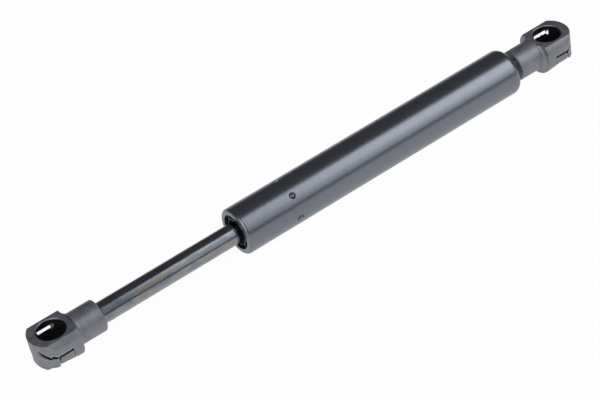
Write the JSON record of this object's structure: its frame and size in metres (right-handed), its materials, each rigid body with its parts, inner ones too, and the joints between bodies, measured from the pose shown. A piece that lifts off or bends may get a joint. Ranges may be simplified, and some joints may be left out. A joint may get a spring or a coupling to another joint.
{
  "type": "gas strut stay",
  "caption": "Slim gas spring stay: black pressure tube, sliding rod and a clip-locked ball socket at each end, for a sash, lid or shutter.",
  "frame": {"origin": "centre of the ball seat in the tube-end socket", "axes": "+X along the strut from the rod end to the tube end; +Z the way both socket mouths face"},
  "size_m": [0.2407, 0.018, 0.018],
  "materials": {
    "black_paint": "satin black paint on drawn steel",
    "treated_rod": "ground and salt-bath treated, dark grey",
    "zinc_steel": "zinc plated",
    "socket_composite": "glass-filled polyamide, dark grey",
    "clip_composite": "glass-filled polyamide, dark grey",
    "guide_plastic": "moulded",
    "seal_rubber": "moulded nitrile",
    "bearing_bronze": "plain bearing",
    "piston_alloy": "die cast",
    "ring_plastic": "filled PTFE"
  },
  "bodies": {
    "tube": {"pressure_tube": "black_paint", "end_plug": "zinc_steel", "tube_stud": "zinc_steel", "tube_socket": "socket_composite", "rod_guide": "guide_plastic", "guide_bush": "bearing_bronze", "rod_wiper": "seal_rubber", "guide_o_ring": "seal_rubber", "seal_washer": "zinc_steel", "rod_seal": "seal_rubber", "seal_support": "guide_plastic"},
    "ring": {"piston_ring": "ring_plastic"},
    "rod": {"piston_rod": "treated_rod", "stop_collar": "zinc_steel", "labyrinth_disc": "zinc_steel", "piston": "piston_alloy", "back_washer": "zinc_steel", "rod_socket": "socket_composite"},
    "rod_clip": {"rod_clip": "clip_composite"},
    "tube_clip": {"tube_clip": "clip_composite"}
  },
  "joints": [
    {"name": "rod_slide", "type": "slide", "parent": "tube", "child": "ring", "axis": [1, 0, 0], "range_m": [0, 0.055], "stiffness_N_per_m": 1800},
    {"name": "rod_spin", "type": "hinge", "parent": "ring", "child": "rod", "pos_m": [-0.1, 0, 0], "axis": [1, 0, 0], "continuous": true},
    {"name": "rod_clip_release", "type": "slide", "parent": "rod", "child": "rod_clip", "axis": [-1, 0, 0], "range_m": [0, 0.004], "stiffness_N_per_m": 500},
    {"name": "tube_clip_release", "type": "slide", "parent": "tube", "child": "tube_clip", "axis": [1, 0, 0], "range_m": [0, 0.004], "stiffness_N_per_m": 500}
  ]
}
